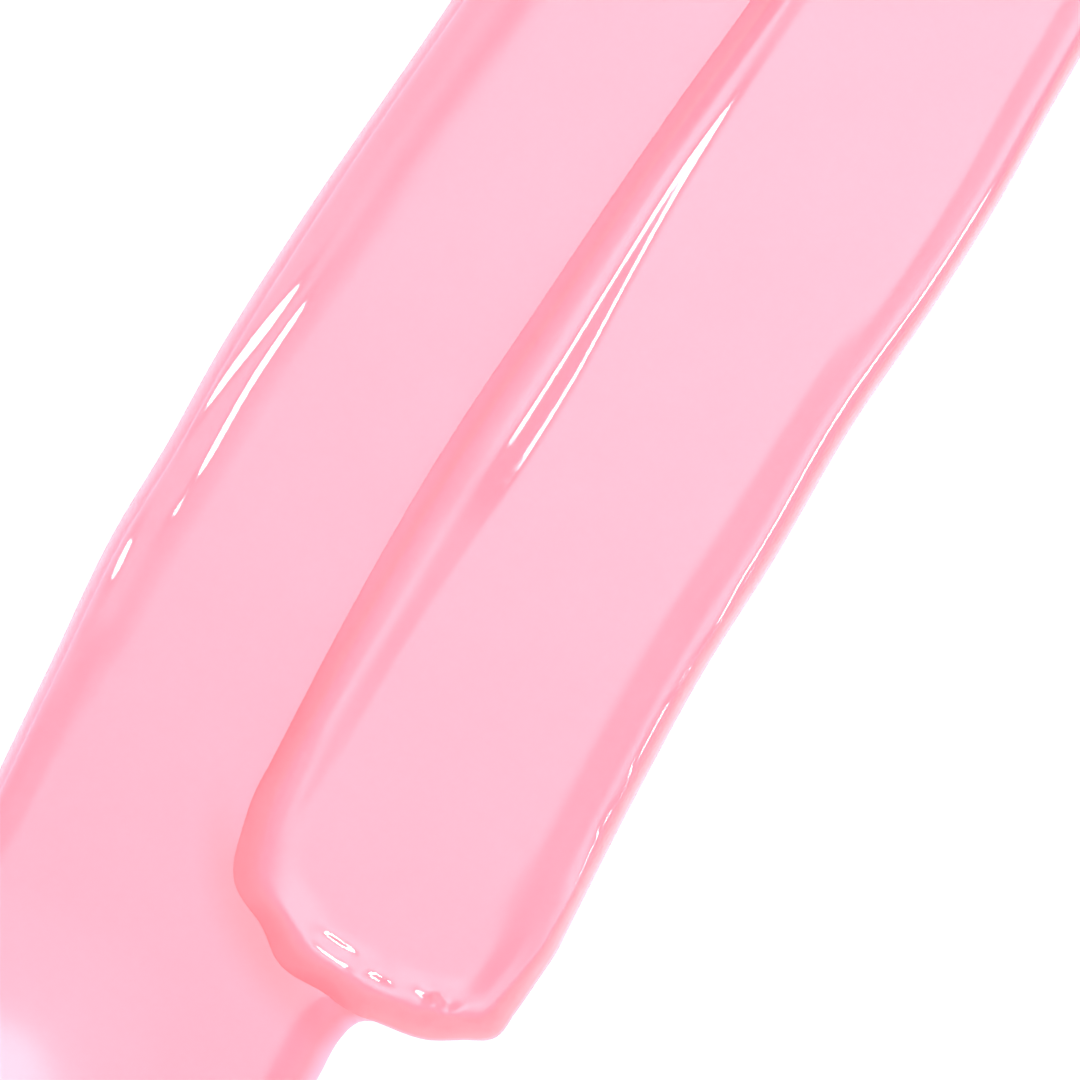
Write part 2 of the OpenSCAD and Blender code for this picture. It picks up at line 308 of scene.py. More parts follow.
class Outline:
    """A stroke's outline as rings of points that step inwards.

    A place on it counts 0 to 1 up the left side, 1 to 2 round the far end, 2 to 3 down the right side and
    3 to 4 round the near end."""

    def __init__(self, start, end, left, right, near_end, far_end, soft_near_end):
        self.start, self.end = start, end
        side = np.linspace(start, end, int(round((end - start) / SIDE_STEP)) + 1)
        turn = np.linspace(0.0, 180.0, CAP_STEPS + 1)[1:-1]
        far_mid = (left(end) + right(end)) / 2
        near_mid = (left(start) + right(start)) / 2
        angle = np.radians(turn)

        def near_points(radius):
            return np.stack([start - radius * np.sin(angle), near_mid - radius * np.cos(angle)], 1)

        left_side = np.stack([side, left(side)], 1)
        right_side = np.stack([side[::-1], right(side[::-1])], 1)
        far = far_end(90.0 - turn)
        far_points = np.stack([end + far * np.sin(angle), far_mid + far * np.cos(angle)], 1)
        sharp = np.concatenate([left_side, far_points, right_side, near_points(near_end(turn - 90.0))])
        soft = np.concatenate([left_side, far_points, right_side, near_points(soft_near_end(turn - 90.0))])
        spine = np.stack([side, (left(side) + right(side)) / 2], 1)
        middle = np.concatenate([
            spine, np.tile([[end, far_mid]], (len(turn), 1)), spine[::-1], np.tile([[start, near_mid]],
            (len(turn), 1))])
        place = np.concatenate([
            np.linspace(0, 1, len(side)), 1 + turn / 180.0, np.linspace(2, 3, len(side)), 3 + turn / 180.0])
        depth = np.linalg.norm(middle - sharp, axis=1)
        insets = [np.full(len(depth), d) for d in EDGE_PLACES if d < depth.min() - 0.25] + [depth]
        self.inset = np.stack(insets)
        softness = smoothstep(self.inset, 0.0, 1.3)[:, :, None]
        outline = sharp[None] * (1 - softness) + soft[None] * softness
        inwards = middle[None] - outline
        share = self.inset / depth
        points = outline + share[:, :, None] * inwards
        self.along, self.left = points[..., 0], points[..., 1]
        self.place = np.tile(place, (len(insets), 1))

    def on_left(self, along):
        return (along - self.start) / (self.end - self.start)

    def on_right(self, along):
        return 2.0 + (self.end - along) / (self.end - self.start)

    def near(self, angle):
        return 3.0 + (angle + 90.0) / 180.0

    def top(self, flat, stations):
        """Height of the upper surface from its slopes.

        A station is a place and [inset, slope] knots, where a positive slope falls inwards. The slopes add up
        from the flat out to the edge."""
        grid = np.arange(0.0, 4.2, GRID_STEP)
        stations = sorted(stations, key=lambda station: station[0])
        stations = [[stations[-1][0] - 4.0, stations[-1][1]]] + stations + [[stations[0][0] + 4.0,
            stations[0][1]]]
        places = np.array([station[0] for station in stations])
        rows = []
        for _, knots in stations:
            slope = np.interp(grid, [k[0] for k in knots], [k[1] for k in knots])
            width = np.exp(-0.5 * (np.arange(-12, 13) / SLOPE_BLUR) ** 2)
            slope = np.convolve(np.pad(slope, 12, mode="edge"), width / width.sum(), mode="valid")
            rows.append(np.cumsum(slope[::-1])[::-1] * GRID_STEP)
        rows = np.array(rows)
        which = np.clip(np.searchsorted(places, self.place[0]) - 1, 0, len(places) - 2)
        part = (self.place[0] - places[which]) / (places[which + 1] - places[which])
        part = part * part * (3 - 2 * part)
        blended = rows[which] * (1 - part[:, None]) + rows[which + 1] * part[:, None]
        rise = np.empty_like(self.inset)
        for i in range(self.inset.shape[1]):
            rise[:, i] = np.interp(self.inset[:, i], grid, blended[i])
        return flat + rise


def leaned(stations, lean):
    """The same stations with their gentle slopes made steeper, and the gentlest of them by less."""
    def steeper(slope):
        gentle = GENTLE_SLOPES[0] <= slope <= GENTLE_SLOPES[1]
        return slope + lean * min(1.0, slope / FULL_LEAN_FROM) if gentle else slope

    return [[place, [[inset, steeper(slope)] for inset, slope in knots]] for place, knots in stations]


def lower_surface(along, left):
    """Height of what the over stroke lies on: the under stroke's flat, or the floor beyond its right edge."""
    return UNDER_FLAT * smoothstep(left - UNDER_RIGHT(along), 0.0, 0.35)


def close_stroke(name, outline, height, over_floor, rim_width, foot_painted_light=0.0, base_inset=0.12, shade=0.0):
    """A closed solid: the surface on top, a wall down to what it lies on, and a flat underside."""
    along, left = outline.along, outline.left
    rings, count = along.shape
    share = base_inset / np.maximum(np.hypot(along[-1] - along[0], left[-1] - left[0]), 1e-6)
    foot_a = along[0] + share * (along[-1] - along[0])
    foot_l = left[0] + share * (left[-1] - left[0])
    all_a = np.concatenate([along, [foot_a], [along[-1]]])
    all_l = np.concatenate([left, [foot_l], [left[-1]]])
    all_z = np.concatenate([height, [np.zeros(count)], [np.zeros(count)]])
    axes = np.array([[v.x, v.y] for v in (ALONG, LEFT)])
    flat = np.stack([all_a, all_l], -1) @ axes
    verts = np.concatenate([flat, all_z[..., None]], -1).reshape(-1, 3) * MM
    verts += np.array(SMEAR_CENTRE)

    def band(a, b):
        return [(a * count + i, a * count + (i + 1) % count, b * count + (i + 1) % count,
            b * count + i) for i in range(count)]

    faces = []
    for ring in range(rings - 1):
        faces += band(ring, ring + 1)
    faces += band(0, rings) + band(rings, rings + 1)
    piece = add_mesh(name, verts, faces)
    edge = np.concatenate([outline.inset, [outline.inset[0]], [outline.inset[-1]]]).ravel()
    bare = np.concatenate([[over_floor] * rings, [over_floor] * 2]).ravel()
    foot_painted_light = np.tile(foot_painted_light, rings + 2) if np.ndim(foot_painted_light) else foot_painted_light
    # Painted light: a paler colour at the rim where the stroke lies on bare floor, and at the over stroke's
    # foot
    paler = (1.0 - smoothstep(edge, 0.0, rim_width)) * bare + foot_painted_light * (1.0 - smoothstep(edge, 0.0,
        FOOT_WIDTH)) * (1 - bare)
    # Painted shade: a darker colour inside the flank, by the shade given
    shaded = shade * (1.0 - smoothstep(edge.reshape(-1, count), 0.3, 1.05))
    marks = {"rim_painted_light": paler, "shade": shaded.ravel()}
    for mark, values in marks.items():
        piece.data.attributes.new(mark, "FLOAT", "POINT").data.foreach_set("value", values.astype(np.float32))
    mesh = bmesh.new()
    mesh.from_mesh(piece.data)
    bmesh.ops.remove_doubles(mesh, verts=mesh.verts, dist=0.5e-6)
    bmesh.ops.recalc_face_normals(mesh, faces=mesh.faces)
    mesh.to_mesh(piece.data)
    mesh.free()
    piece.data.shade_smooth()
    return piece


def flank(inset, width):
    """0 at the edge to 1 at the end of the rounded outer side."""
    return 1.0 - (1.0 - np.clip(inset / width, 0.0, 1.0)) ** FLANK_POWER


def around(place, knots):
    """A value that changes smoothly round the outline, from [place, value] knots."""
    knots = sorted(knots)
    first, last = knots[0], knots[-1]
    return curve([[last[0] - 4.0, last[1]]] + knots + [[first[0] + 4.0, first[1]]])(place)


def ripple(along, left, seed, size, count=7):
    """A small smooth unevenness, the sum of a few waves of about the given size."""
    draw = np.random.default_rng(seed)
    total = np.zeros_like(along)
    for _ in range(count):
        angle = draw.uniform(0, 2 * math.pi)
        wave = 2 * math.pi * draw.uniform(0.6, 1.6) / size
        shift = draw.uniform(0, 2 * math.pi)
        total += np.sin(wave * (along * math.cos(angle) + left * math.sin(angle)) + shift)
    return total / count


def round_end(radius):
    return curve([[-90, radius], [0, radius * 0.98], [90, radius]])


def make_under():
    start, end = -20.0, 17.0
    half_start = float(UNDER_LEFT(start) - UNDER_RIGHT(start)) / 2
    half_end = float(UNDER_LEFT(end) - UNDER_RIGHT(end)) / 2
    line = Outline(start, end, UNDER_LEFT, UNDER_RIGHT, round_end(half_start), round_end(half_end),
        round_end(half_start))
    left, right = line.on_left, line.on_right
    plain_edge = [[0, 0.0], [0.9, 0.02], [1.6, 0.0]]
    # Insets of the wide glint and of the thin one, and how steep the bead gets at each of them
    wide = curve([[-9, 0.6], [-6.4, 0.6], [-4, 0.46], [-1.6, 0.52], [1, 0.80], [2.9, 0.98], [6, 1.0]])
    thin = curve([[-9, 1.2], [-3.4, 1.25], [-0.7, 1.28], [2.3, 1.40], [6, 1.5]])
    wide_steep = curve([
        [-8.2, 0.13], [-7.4, 0.165], [-7.0, 0.205], [-6.0, 0.210], [-5.6, 0.18], [-4.6, 0.13], [-3.2, 0.13],
        [-2.2, 0.165],
        [-1.4, 0.192], [0.2, 0.202], [2.0, 0.202], [2.8, 0.190], [3.6, 0.155], [4.6, 0.13], [6, 0.13]])
    wide_half = curve([[-9, 0.03], [-3, 0.03], [-1.6, 0.04], [0.2, 0.09], [1.3, 0.10], [2.4, 0.06],
        [3.2, 0.03], [6, 0.03]])
    thin_steep = curve([
        [-8, 0.14], [-5.6, 0.145], [-4.9, 0.18], [-4.4, 0.196], [-4.0, 0.188], [-3.6, 0.174], [-3.1, 0.196],
        [-1, 0.210],
        [1.5, 0.209], [2.3, 0.194], [3.0, 0.165], [4.0, 0.145], [6, 0.145]])
    stations = leaned([
        [left(15.5), [
            [0.20, 0.125], [0.30, 0.125], [0.42, 0.09], [0.55, 0.10], [0.65, 0.12], [0.9, 0.10], [1.1, 0.092],
            [1.35, 0.112], [1.6, 0.132], [1.8, 0.130], [2.0, 0.10], [2.2, 0.075], [2.5, 0.045], [2.9, 0]]],
        [left(8.0), [
            [0.20, 0.105], [0.6, 0.098], [0.8, 0.108], [1.0, 0.098], [1.12, 0.088], [1.3, 0.105],
            [1.55, 0.120],
            [1.65, 0.115], [1.8, 0.095], [2.0, 0.075], [2.2, 0.055], [2.5, 0.03], [2.8, 0]]],
        [left(-9.5), [
            [0.15, 0.07], [0.3, 0.10], [0.6, 0.105], [0.8, 0.130], [1.1, 0.128], [1.25, 0.10], [1.35, 0.095],
            [1.5, 0.09], [1.65, 0.07], [1.9, 0]]],
        [left(-13.0), [
            [0.15, 0.05], [0.28, 0.11], [0.45, 0.133], [0.65, 0.135], [0.9, 0.112], [1.05, 0.12], [1.2, 0.10],
            [1.4, 0.06], [1.8, 0]]],
        [left(-18.0), [[0.15, 0.05], [0.45, 0.12], [0.8, 0.10], [1.1, 0.09], [1.5, 0]]],
    ], UNDER_BAND_LEAN)
    for along in np.arange(-8.0, 5.3, 0.4):
        first, last = float(wide(along)), float(thin(along))
        half = float(wide_half(along))
        steep_first, steep_last = float(wide_steep(along)), float(thin_steep(along))
        stations.append([left(along), [
            [0.1, 0.12], [first - half - 0.14, 0.125], [first - half, steep_first],
            [first + half, steep_first],
            [first + half + 0.12, 0.115], [last - 0.17, 0.115], [last - 0.03, steep_last],
            [last + 0.03, steep_last],
            [last + 0.15, 0.140], [last + 0.35, 0.132], [last + 0.6, 0.105], [last + 0.8, 0.075],
            [last + 1.1, 0]]])
    stations += [
        [1.5, plain_edge],
        [right(10.0), plain_edge],
        [right(-14.0), plain_edge],
        [3.5, plain_edge],
    ]
    top = line.top(UNDER_FLAT, stations) + 0.005 * ripple(line.along, line.left, 5, 9.0)
    width = around(line.place, [[left(-15), 0.35], [left(0), 0.40], [left(12), 0.36], [1.5, 1.2],
        [right(0), 1.6], [3.5, 1.4]])
    height = FLOOR_LIFT + (top - FLOOR_LIFT) * flank(line.inset, width)
    return close_stroke("gloss_stroke_under", line, height, np.ones(line.along.shape[1]), 0.55)


def make_over():
    start, end = -9.6, 21.0
    half_end = float(OVER_LEFT(end) - OVER_RIGHT(end)) / 2
    line = Outline(start, end, OVER_LEFT, OVER_RIGHT, BLUNT_END, round_end(half_end), SOFT_END)
    left, right, near = line.on_left, line.on_right, line.near
    end_roll = [[0.55, -0.32], [0.8, -0.20], [0.95, -0.10], [1.05, 0.10], [1.3, 0.13], [1.55, 0.12],
        [1.75, 0.06], [2.1, 0]]
    double_roll = [
        [0.55, -0.32], [0.8, -0.18], [0.92, 0.02], [1.0, 0.252], [1.11, 0.252], [1.22, 0.09], [1.38, 0.09],
        [1.5, 0.24],
        [1.6, 0.24], [1.72, 0.08], [2.0, 0]]
    small_roll = [[0.55, -0.32], [0.8, -0.18], [0.95, 0.02], [1.1, 0.10], [1.26, 0.226], [1.34, 0.226],
        [1.5, 0.09], [1.9, 0]]
    # Insets of the two lines that the streak splits into, and how steep the bead gets between them
    outer = curve([[-8, 1.25], [-4, 1.42], [1, 1.46], [4, 1.44], [8, 1.30], [11, 1.19], [13.8, 1.20],
        [17, 1.0]])
    inner = curve([[-8, 1.6], [-4, 1.8], [-1, 2.0], [1, 2.15], [4, 2.10], [8, 1.74], [11, 1.50], [13.8, 1.36],
        [17, 1.25]])
    steepest = curve([
        [-8, 0.11], [-5, 0.132], [-2, 0.132], [-0.4, 0.14], [0.4, 0.19], [1.2, 0.25], [2.5, 0.28], [4, 0.29],
        [7, 0.275],
        [9, 0.25], [11, 0.235], [13, 0.210], [14, 0.19], [15, 0.155], [18, 0.13]])
    stations = [
        [left(-9.0), [[0.55, -0.16], [0.8, -0.12], [1.05, -0.10], [1.2, 0.06], [1.35, 0.118], [1.5, 0.10],
        [1.65, 0.06], [1.9, 0]]],
        [near(60.0), [[0.5, -0.30], [0.8, -0.20], [1.05, -0.13], [1.25, -0.08], [1.45, 0.02], [1.65, 0.08],
        [2.0, 0]]],
        [near(27.0), end_roll],
        [near(16.0), double_roll],
        [near(3.0), double_roll],
        [near(-5.0), end_roll],
        [near(-15.5), small_roll],
        [near(-17.0), small_roll],
        [near(-22.0), end_roll],
        [near(-35.0), [[0.5, -0.28], [0.85, -0.14], [1.0, 0.08], [1.3, 0.15], [1.6, 0.12], [2.0, 0]]],
        [near(-70.0), [[0.4, -0.05], [0.6, 0.12], [0.85, 0.08], [1.05, 0.17], [1.45, 0.15], [1.9, 0]]],
        [1.5, end_roll],
    ]
    stations += leaned([
        [right(-8.8), [
            [0.35, -0.12], [0.5, 0.06], [0.7, 0.108], [0.9, 0.115], [1.3, 0.128], [1.45, 0.115],
            [1.65, 0.105],
            [1.8, 0.09], [2.05, 0.06], [2.3, 0]]],
        [right(0.5), [
            [0.36, -0.28], [0.46, -0.12], [0.56, -0.04], [0.72, 0.06], [0.88, 0.118], [1.05, 0.128],
            [1.3, 0.116],
            [1.65, 0.116], [1.78, 0.08], [1.95, 0.03], [2.1, 0]]],
        [right(2.0), [
            [0.40, -0.34], [0.47, -0.205], [0.54, -0.175], [0.62, -0.04], [0.72, 0.07], [0.85, 0.105],
            [1.0, 0.122],
            [1.2, 0.11], [1.6, 0.118], [1.75, 0.09], [1.9, 0.04], [2.1, 0]]],
        [right(8.0), [
            [0.38, -0.36], [0.45, -0.205], [0.56, -0.17], [0.64, -0.05], [0.76, 0.06], [0.88, 0.115],
            [1.2, 0.118],
            [1.5, 0.112], [1.6, 0.09], [1.72, 0.05], [1.9, 0]]],
        [right(13.0), [
            [0.27, -0.36], [0.37, -0.205], [0.46, -0.17], [0.54, -0.05], [0.7, 0.10], [0.9, 0.115],
            [1.1, 0.125],
            [1.2, 0.115], [1.32, 0.04], [1.45, -0.03], [1.58, -0.02], [1.75, 0]]],
        [right(18.0), [
            [0.30, -0.30], [0.42, -0.14], [0.55, 0.02], [0.75, 0.11], [1.0, 0.12], [1.2, 0.12], [1.35, 0.04],
            [1.48, -0.04], [1.62, -0.02], [1.85, 0]]],
    ], OVER_BAND_LEAN)
    # The short glints low on the right edge sit where the slope stays level for a moment
    band = [[0.72, 0.08], [0.85, 0.142], [1.2, 0.136], [1.6, 0.141], [1.75, 0.105], [1.95, 0.045], [2.2, 0]]
    for along, level in (
            (-0.9, False), (-1.7, False), (-2.3, True), (-4.0, True), (-4.6, False), (-5.3, False),
            (-5.65, True),
            (-6.15, True), (-6.6, False)):
        edge = [[0.40, -0.335], [0.52, -0.305], [0.58, -0.12]] if level else [[0.38, -0.46], [0.44, -0.16],
            [0.56, -0.09]]
        stations.append([right(along), [[0.34, -0.48]] + edge + [[0.64, -0.05]] + band])
    for along in np.arange(-7.6, 18.1, 0.5):
        first, last, peak = float(outer(along)), float(inner(along)), float(steepest(along))
        glint = min(0.205, 0.96 * peak)
        stations.append([left(along), [
            [0.55, -0.16], [0.7, -0.14], [0.9, -0.11], [first - 0.34, -0.08], [first - 0.22, 0.03],
            [first - 0.08, 0.10],
            [first + 0.02, glint], [(first + last) / 2, peak], [last - 0.02, glint], [last + 0.08, 0.10],
            [last + 0.2, 0.04],
            [last + 0.34, 0]]])
    top = line.top(OVER_FLAT, stations) + 0.005 * ripple(line.along, line.left, 8, 9.0)
    crumple = smoothstep(-line.along, 12.2, 13.0) * (1.0 - smoothstep(line.left, -4.0, -2.9))
    crumple += 0.2 * smoothstep(-line.along, 12.3, 13.2) * (1.0 - smoothstep(line.left, 1.5, 3.0))
    top += 0.105 * crumple * ripple(line.along * 0.8, line.left, 31, 0.8, 12)
    width = around(line.place, [
        [left(-9), 0.72], [left(0), 0.68], [left(10), 0.60], [left(17), 0.60], [1.5, 0.7], [right(17), 0.32],
        [right(0), 0.37],
        [right(-8), 0.40], [near(-60), 0.75], [near(-30), 0.95], [near(60), 0.90]])
    lies_on = lower_surface(line.along[0], line.left[0])
    floor_z = (lies_on + np.where(lies_on > 0.3, -SINK, FLOOR_LIFT))[None, :]
    height = floor_z + (top - floor_z) * flank(line.inset, width)
    foot = around(line.place, [
        [left(-8), 0.15], [left(-3), 1.0], [left(15), 1.0], [1.5, 1.0], [right(0), 1.0], [near(-70), 0.6],
        [near(-30), 0.0],
        [near(60), 0.0]])
    on_floor = 1.0 - smoothstep(lies_on, 0.0, 0.3)
    # Painted shade on the blunt end's flank, strongest a little left of the end's middle
    shade = around(line.place, [
        [left(-5), 0.0], [left(10), 0.0], [1.5, 0.0], [right(0), 0.0], [near(-75), 0.1], [near(-25), 0.45],
        [near(15), 0.6],
        [near(50), 0.35], [near(80), 0.1]])
    return close_stroke("gloss_stroke_over", line, height, on_floor, 0.12, FOOT_PAINTED_LIGHT * foot[0],
        shade=shade[0])


def end_shadow(nodes, node, place):
    """How much painted shadow darkens the under stroke's gloss beside the left corner of the over stroke's
    blunt end.
    """
    centre = SMEAR_CENTRE + ALONG * (END_CENTRE[0] * MM) + LEFT * (END_CENTRE[1] * MM)
    away = node("ShaderNodeVectorMath", operation="SUBTRACT")
    away.inputs[1].default_value = centre
    nodes.links.new(place, away.inputs[0])
    flat = node("ShaderNodeVectorMath", operation="MULTIPLY")
    flat.inputs[1].default_value = (1.0, 1.0, 0.0)
    nodes.links.new(away.outputs["Vector"], flat.inputs[0])
    far = node("ShaderNodeVectorMath", operation="LENGTH")
    nodes.links.new(flat.outputs["Vector"], far.inputs[0])
    corner = node("ShaderNodeVectorMath", operation="DOT_PRODUCT")
    corner.inputs[1].default_value = (LEFT * 0.55 - ALONG * 0.83).normalized()
    nodes.links.new(flat.outputs["Vector"], corner.inputs[0])
    shares = []
    for value, start, stop in ((far.outputs["Value"], 6.5 * MM, 4.7 * MM), (corner.outputs["Value"], 3.6 * MM,
            5.4 * MM)):
        share = node("ShaderNodeMapRange", interpolation_type="SMOOTHSTEP")
        share.inputs["From Min"].default_value = start
        share.inputs["From Max"].default_value = stop
        nodes.links.new(value, share.inputs["Value"])
        shares.append(share.outputs["Result"])
    both = node("ShaderNodeMath", operation="MULTIPLY")
    nodes.links.new(shares[0], both.inputs[0])
    nodes.links.new(shares[1], both.inputs[1])
    return both.outputs[0]


def gloss_material(name, strength, shaded_by_end=False):
    """strength is how much paler the whole stroke is, since a thinner one loses more light into the floor."""
    material, nodes, shader = new_material(name)
    pale, painted_flank_colour = [tuple(min(c * k, 0.98) for c, k in zip(base, (1.0, strength, strength)))
                         for base in (GLOSS_PALE, GLOSS_PAINTED_FLANK_LIGHT)]

    def node(kind, **values):
        made = nodes.nodes.new(kind)
        for key, value in values.items():
            setattr(made, key, value)
        return made

    rim_painted_light = node("ShaderNodeAttribute", attribute_name="rim_painted_light")
    # Painted light: steep flanks take a second, slightly paler colour that lifts the shade of the bands along
    # the edges
    normal = node("ShaderNodeNewGeometry")
    facing = node("ShaderNodeSeparateXYZ")
    nodes.links.new(normal.outputs["Normal"], facing.inputs[0])
    painted_flank_share = node("ShaderNodeMapRange", interpolation_type="SMOOTHSTEP")
    painted_flank_share.inputs["From Min"].default_value = 0.997
    painted_flank_share.inputs["From Max"].default_value = 0.80
    nodes.links.new(facing.outputs["Z"], painted_flank_share.inputs["Value"])
    place = node("ShaderNodeTexCoord")
    cloud = node("ShaderNodeTexNoise", noise_dimensions="3D")
    cloud.inputs["Scale"].default_value = 260.0
    cloud.inputs["Detail"].default_value = 3.0
    nodes.links.new(place.outputs["Object"], cloud.inputs["Vector"])
    tone = node("ShaderNodeMix", data_type="RGBA")
    tone.inputs["A"].default_value = (*pale, 1.0)
    tone.inputs["B"].default_value = (*[c * k for c, k in zip(pale, (1.0, 0.93, 0.94))], 1.0)
    nodes.links.new(cloud.outputs["Fac"], tone.inputs["Factor"])
    # Painted light mixed in on the steep flanks
    deep = node("ShaderNodeMix", data_type="RGBA")
    deep.inputs["B"].default_value = (*painted_flank_colour, 1.0)
    nodes.links.new(painted_flank_share.outputs["Result"], deep.inputs["Factor"])
    nodes.links.new(tone.outputs["Result"], deep.inputs["A"])
    # Painted light: by the rim mark the colour turns paler at the thin edges and at the over stroke's foot
    paler = node("ShaderNodeMix", data_type="RGBA")
    paler.inputs["B"].default_value = (*GLOSS_RIM_PAINTED_LIGHT, 1.0)
    nodes.links.new(rim_painted_light.outputs["Fac"], paler.inputs["Factor"])
    nodes.links.new(deep.outputs["Result"], paler.inputs["A"])
    # Painted shade: the colour darkens towards GLOSS_SHADE by the shade mark, or on the under stroke by the
    # painted shadow beside the blunt end
    mark = node("ShaderNodeAttribute", attribute_name="shade")
    shadow = mark.outputs["Fac"]
    if shaded_by_end:
        shadow = end_shadow(nodes, node, place.outputs["Object"])
    shaded = node("ShaderNodeMix", data_type="RGBA")
    shaded.inputs["B"].default_value = (*GLOSS_SHADE, 1.0)
    nodes.links.new(shadow, shaded.inputs["Factor"])
    nodes.links.new(paler.outputs["Result"], shaded.inputs["A"])
    nodes.links.new(shaded.outputs["Result"], shader.inputs["Base Color"])
    shader.inputs["Roughness"].default_value = 0.05
    shader.inputs["IOR"].default_value = 1.5
    shader.inputs["Subsurface Weight"].default_value = 0.6
    shader.inputs["Subsurface Radius"].default_value = (1.0, 0.45, 0.5)
    shader.inputs["Subsurface Scale"].default_value = 0.5 * MM
    return material


GLOSS_PALE = (0.97, 0.225, 0.277)
# The colour painted on steep flanks: painted light that lifts their shade
GLOSS_PAINTED_FLANK_LIGHT = (0.97, 0.255, 0.285)
# Paler colour painted at the rims and the foot: painted light
GLOSS_RIM_PAINTED_LIGHT = (0.97, 0.40, 0.49)
# Darker colour for painted shade
GLOSS_SHADE = (0.97, 0.175, 0.20)
# The middle of the blunt end, along the strokes and to the left
END_CENTRE = (-9.6, -1.4)

under = make_under()
under.data.materials.append(gloss_material("gloss_under", 1.07, True))
over = make_over()
over.data.materials.append(gloss_material("gloss_over", 1.0))
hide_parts("stroke_under")
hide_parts("stroke_over")
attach(under, "smear")
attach(over, "smear")

RIGHT = -LEFT
LAMP_LIGHT = 40.0
STREAK_LEAN = 23.0
UNDER_LEAN = 19.8
# Steep enough that only the right edge shows these panes
SIDE_LEAN = 37.0
STREAK_WIDTH = 19.0
THIN_WIDTH = 10.0
LAMP_DISTANCE = 300.0
GLOW_AIM = (-53.0, 15.0)
LAVENDER = (0.9, 0.85, 1.0)
# Each pane: the stroke it lights, its lean, its middle and length along the strokes, and its width
for number, (piece, lean, middle, length, width) in enumerate([
        (over, STREAK_LEAN, 15.8, 37.4, STREAK_WIDTH), (over, SIDE_LEAN, -8.5, 17.0, THIN_WIDTH),
        (under, UNDER_LEAN, -2.2, 19.6, STREAK_WIDTH), (under, UNDER_LEAN, -15.6, 3.4, STREAK_WIDTH)]):
    aim = (middle, 10.0 if piece is under else 0.0)
    softbox("streak_pane_%d" % number, RIGHT, lean, aim, LAMP_DISTANCE, (width, length), LAMP_LIGHT, [piece])
softbox("end_glint_lamp", ALONG, 25.0, (-32.0, -22.0), LAMP_DISTANCE, (16.0, 40.0), LAMP_LIGHT, [over])
softbox("small_glint_lamp", ALONG, 25.0, (-32.0, 36.0), LAMP_DISTANCE, (14.0, 14.0), LAMP_LIGHT, [over])
for number, (spread, radiance) in enumerate(((8.0, 7.0), (15.0, 0.9), (25.0, 0.6))):
    softbox("corner_glow_%d" % number, ALONG, 0.0, GLOW_AIM, LAMP_DISTANCE, (spread, spread), radiance,
        [under], LAVENDER,
            "DISK")

# ---------------------------------------------------------------- the tube


def size_of(node):
    low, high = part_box(node)
    return (Vector(low), Vector(high))


def build_material(name, base, rough, **sockets):
    """A Principled material with its constants on the shader, and a helper that adds nodes to it."""
    material, nodes, shader = new_material(name)
    shader.inputs["Base Color"].default_value = (*base, 1.0)
    shader.inputs["Roughness"].default_value = rough
    for socket, value in sockets.items():
        shader.inputs[socket.replace("_", " ")].default_value = value

    def add(kind, inputs=None, **values):
        made = nodes.nodes.new(kind)
        for key, value in values.items():
            setattr(made, key, value)
        for key, value in (inputs or {}).items():
            if isinstance(value, bpy.types.NodeSocket):
                nodes.links.new(value, made.inputs[key])
            else:
                made.inputs[key].default_value = value
        return made

    return material, shader, nodes, add


def vary(shader, nodes, add, first, second, scale, detail=3.0, stretch=(1, 1, 1), contrast=(0.3, 0.7)):
    """Two close colours in soft patches."""
    place = add("ShaderNodeTexCoord").outputs["Object"]
    spread = add("ShaderNodeMapping", {"Vector": place, "Scale": stretch}).outputs["Vector"]
    noise = add("ShaderNodeTexNoise", {"Vector": spread, "Scale": scale, "Detail": detail}).outputs["Fac"]
    share = add("ShaderNodeMapRange", {"Value": noise, "From Min": contrast[0],
        "From Max": contrast[1]}).outputs["Result"]
    colour = add("ShaderNodeMix", {"Factor": share, "A": (*first, 1.0), "B": (*second, 1.0)},
        data_type="RGBA")
    nodes.links.new(colour.outputs["Result"], shader.inputs["Base Color"])
    return spread


def rough_patches(shader, nodes, add, low, high, scale):
    place = add("ShaderNodeTexCoord").outputs["Object"]
    noise = add("ShaderNodeTexNoise", {"Vector": place, "Scale": scale, "Detail": 4.0}).outputs["Fac"]
    rough = add("ShaderNodeMapRange", {"Value": noise, "From Min": 0.3, "From Max": 0.7, "To Min": low,
        "To Max": high})
    nodes.links.new(rough.outputs["Result"], shader.inputs["Roughness"])


def bump(shader, nodes, add, height, strength, distance):
    made = add("ShaderNodeBump", {"Height": height, "Strength": strength, "Distance": distance})
    nodes.links.new(made.outputs["Normal"], shader.inputs["Normal"])
    return made


def grain(shader, nodes, add, scale, strength, distance, stretch=(1, 1, 1)):
    place = add("ShaderNodeTexCoord").outputs["Object"]
    spread = add("ShaderNodeMapping", {"Vector": place, "Scale": stretch}).outputs["Vector"]
    noise = add("ShaderNodeTexNoise", {"Vector": spread, "Scale": scale, "Detail": 5.0}).outputs["Fac"]
    bump(shader, nodes, add, noise, strength, distance)


def clear_plastic():
    material, shader, nodes, add = build_material(
        "clear_wall", (0.985, 0.99, 0.995), 0.015, Transmission_Weight=1.0, IOR=1.49)
    vary(shader, nodes, add, (0.875, 0.895, 0.905), (0.86, 0.885, 0.90), 90.0)
    grain(shader, nodes, add, 55.0, 0.03, 0.2 * MM)
    # Light from the lamps and the panels reaches the liquid straight through the wall
    output = [n for n in nodes.nodes if n.type == "OUTPUT_MATERIAL"][0]
    path = add("ShaderNodeLightPath")
    through = add("ShaderNodeBsdfTransparent", {"Color": (0.95, 0.955, 0.96, 1.0)})
    both = add("ShaderNodeMixShader", {0: path.outputs["Is Shadow Ray"], 1: shader.outputs[0],
        2: through.outputs[0]})
    nodes.links.new(both.outputs[0], output.inputs["Surface"])
    return material


